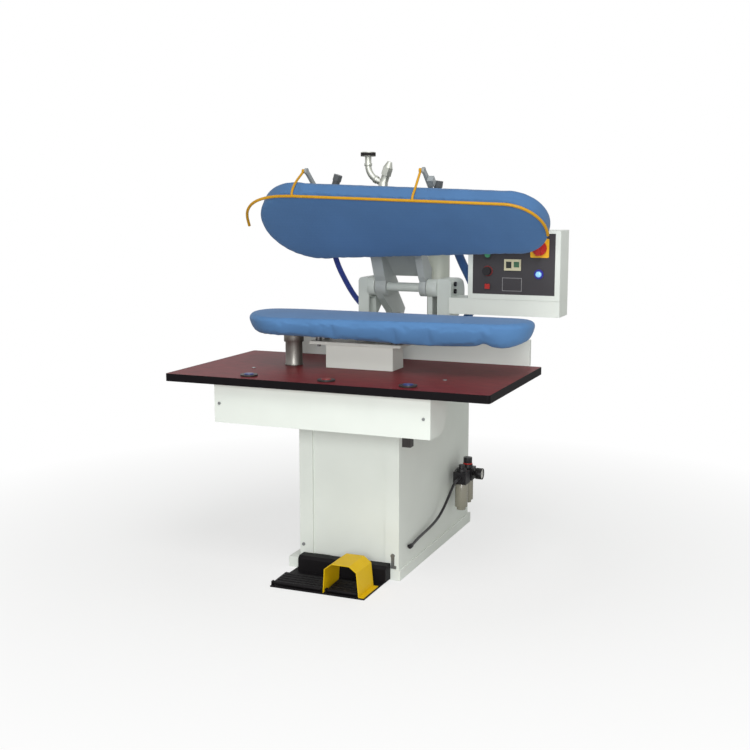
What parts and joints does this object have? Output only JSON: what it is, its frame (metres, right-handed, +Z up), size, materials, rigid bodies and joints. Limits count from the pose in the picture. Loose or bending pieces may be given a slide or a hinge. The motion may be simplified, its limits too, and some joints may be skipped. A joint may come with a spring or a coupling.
{
  "type": "pneumatic utility press",
  "caption": "Floor-standing pneumatic garment press: a padded head on a rear lever swings down on to a tapered padded buck over a work table, with cabinet, control box and pedals.",
  "frame": {"origin": "on the floor, under the middle of the machine's outer box", "axes": "+Z up, +X to the operator's right, -Y towards the operator"},
  "size_m": [1.441, 1.222, 1.7332],
  "materials": {
    "white_paint": "satin powder coat",
    "grey_casting": "satin enamel on a casting",
    "bright_steel": "bright zinc or turned steel",
    "spring_steel": "oiled spring wire",
    "laminate": "maroon laminate on board, satin",
    "black_plastic": "moulded, matte",
    "pedal_metal": "black hammered enamel",
    "bronze": "turned",
    "chest_aluminium": "cast and machined",
    "blue_cloth": "woven cotton cover",
    "dark_casting": "grey enamel on iron",
    "beige_plastic": "moulded, matte",
    "yellow_paint": "gloss enamel",
    "yellow_plastic": "moulded, matte",
    "blue_lens": "clear moulded lens",
    "smoked_bowl": "smoked polycarbonate",
    "hose_rubber": "smooth cover",
    "blue_plastic": "moulded, gloss",
    "red_plastic": "moulded, gloss",
    "green_plastic": "moulded, gloss"
  },
  "bodies": {
    "frame": {"plinth": "white_paint", "cabinet_frame": "grey_casting", "left_side_panel": "white_paint", "right_side_panel": "white_paint", "front_panel": "white_paint", "rear_panel": "white_paint", "rear_deck": "white_paint", "fasteners": "bright_steel", "table_top": "laminate", "table_edge": "black_plastic", "apron_panel": "white_paint", "rear_guard": "white_paint", "left_upright": "grey_casting", "right_upright": "grey_casting", "shaft_bushes": "bronze", "buck_pedestal": "white_paint", "support_column": "bright_steel", "buck_plate": "chest_aluminium", "buck_pad": "blue_cloth", "control_arm": "white_paint", "control_box": "white_paint", "control_fascia": "black_plastic", "timer": "beige_plastic", "switch_plate": "yellow_plastic", "pilot_lamp": "blue_lens", "cylinder_barrel": "chest_aluminium", "cylinder_caps": "dark_casting", "steam_manifold": "dark_casting", "air_unit_body": "black_plastic", "air_bowls": "smoked_bowl", "pressure_gauge": "black_plastic", "air_hose": "hose_rubber", "air_hose_fittings": "bright_steel", "left_steam_hose": "hose_rubber", "right_steam_hose": "hose_rubber", "return_spring": "spring_steel", "palm_housings": "bright_steel", "pedal_base": "pedal_metal", "pedal_housing": "black_plastic", "pedal_guard": "yellow_paint"},
    "head": {"head_lever": "grey_casting", "main_shaft": "bright_steel", "lever_pins": "bright_steel", "head_plate": "chest_aluminium", "head_pad": "blue_cloth", "bar_brackets": "grey_casting", "steam_fittings": "bright_steel", "hose_elbows": "dark_casting"},
    "safety_bar": {"safety_bar": "yellow_paint"},
    "piston_rod": {"piston_rod": "bright_steel"},
    "left_pedal": {"left_pedal": "pedal_metal"},
    "right_pedal": {"right_pedal": "pedal_metal"},
    "palm_button_left": {"palm_button_left": "blue_plastic"},
    "palm_button_middle": {"palm_button_middle": "red_plastic"},
    "palm_button_right": {"palm_button_right": "blue_plastic"},
    "main_switch_knob": {"main_switch_knob": "red_plastic"},
    "stop_button": {"stop_button": "black_plastic"},
    "start_button": {"start_button": "green_plastic"},
    "reset_button": {"reset_button": "red_plastic"},
    "regulator_knob": {"regulator_knob": "black_plastic"}
  },
  "joints": [
    {"name": "head_swing", "type": "hinge", "parent": "frame", "child": "head", "pos_m": [-0.0385, 0.286, 1.149], "axis": [1, 0, 0], "range_deg": [0, 43], "stiffness_Nm_per_rad": 120, "springref_deg": -148.97, "deforming": ["left_steam_hose", "right_steam_hose", "return_spring"]},
    {"name": "rod_slide", "type": "slide", "parent": "frame", "child": "piston_rod", "axis": [0, 0.3338, 0.9426], "range_m": [0, 0.1836]},
    {"name": "bar_swing", "type": "hinge", "parent": "head", "child": "safety_bar", "pos_m": [-0.0385, -0.14272, 1.65407], "axis": [-1, 0, 0], "range_deg": [0, 12]},
    {"name": "left_pedal_press", "type": "hinge", "parent": "frame", "child": "left_pedal", "pos_m": [-0.1545, -0.572, 0.015], "axis": [-1, 0, 0], "range_deg": [0, 6], "stiffness_Nm_per_rad": 40, "springref_deg": -6.88},
    {"name": "right_pedal_press", "type": "hinge", "parent": "frame", "child": "right_pedal", "pos_m": [0.0415, -0.572, 0.015], "axis": [-1, 0, 0], "range_deg": [0, 6], "stiffness_Nm_per_rad": 40, "springref_deg": -6.88},
    {"name": "palm_left_press", "type": "slide", "parent": "frame", "child": "palm_button_left", "axis": [0, 0, -1], "range_m": [0, 0.004], "stiffness_N_per_m": 1500, "springref_m": -0.004},
    {"name": "palm_middle_press", "type": "slide", "parent": "frame", "child": "palm_button_middle", "axis": [0, 0, -1], "range_m": [0, 0.004], "stiffness_N_per_m": 1500, "springref_m": -0.004},
    {"name": "palm_right_press", "type": "slide", "parent": "frame", "child": "palm_button_right", "axis": [0, 0, -1], "range_m": [0, 0.004], "stiffness_N_per_m": 1500, "springref_m": -0.004},
    {"name": "start_press", "type": "slide", "parent": "frame", "child": "start_button", "axis": [0, 1, 0], "range_m": [0, 0.004], "stiffness_N_per_m": 800, "springref_m": -0.004},
    {"name": "stop_press", "type": "slide", "parent": "frame", "child": "stop_button", "axis": [0, 1, 0], "range_m": [0, 0.005], "stiffness_N_per_m": 800, "springref_m": -0.004},
    {"name": "reset_press", "type": "slide", "parent": "frame", "child": "reset_button", "axis": [0, 1, 0], "range_m": [0, 0.003], "stiffness_N_per_m": 800, "springref_m": -0.004},
    {"name": "main_switch_turn", "type": "hinge", "parent": "frame", "child": "main_switch_knob", "pos_m": [0.5995, 0.226, 1.335], "axis": [0, 1, 0], "range_deg": [0, 90]},
    {"name": "regulator_turn", "type": "hinge", "parent": "frame", "child": "regulator_knob", "pos_m": [0.2365, 0.416, 0.331], "axis": [0, 0, 1], "continuous": true}
  ],
  "couplings": [
    {"joint": "rod_slide", "follows": "head_swing", "m_per_rad": 0.24417}
  ]
}
